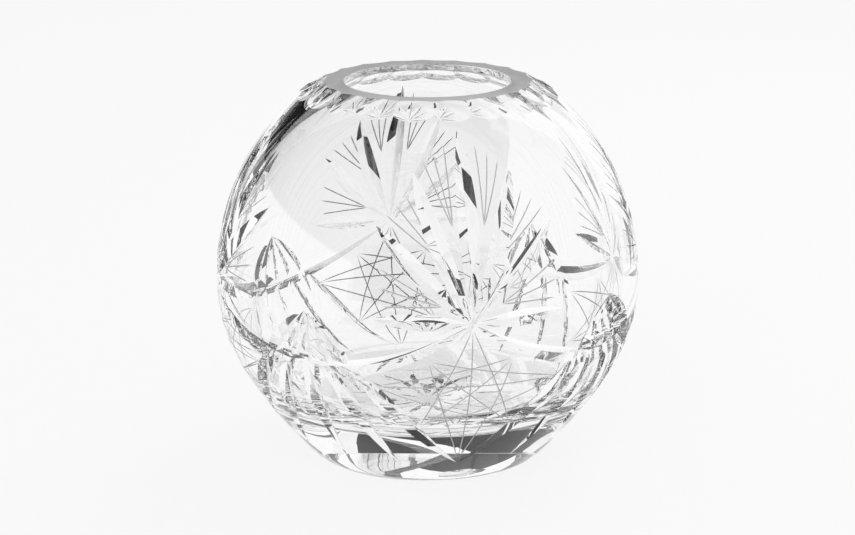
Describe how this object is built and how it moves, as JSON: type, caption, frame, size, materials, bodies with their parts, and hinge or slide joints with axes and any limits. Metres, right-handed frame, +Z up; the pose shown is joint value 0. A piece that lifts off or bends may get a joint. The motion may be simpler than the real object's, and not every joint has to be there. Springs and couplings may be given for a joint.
{
  "type": "rose bowl vase",
  "caption": "Ball-shaped cut crystal rose bowl with a scalloped ground rim, fans of leaf cuts, swags, fluted sheaves and a star-cut base.",
  "frame": {"origin": "centre of the base, on the surface the bowl stands on", "axes": "+Z up along the bowl's axis, -Y through the middle of one fan of leaves"},
  "size_m": [0.199, 0.199, 0.18],
  "materials": {
    "crystal": "polished clear crystal"
  },
  "bodies": {
    "root": {"glass_bowl": "crystal"}
  },
  "joints": []
}
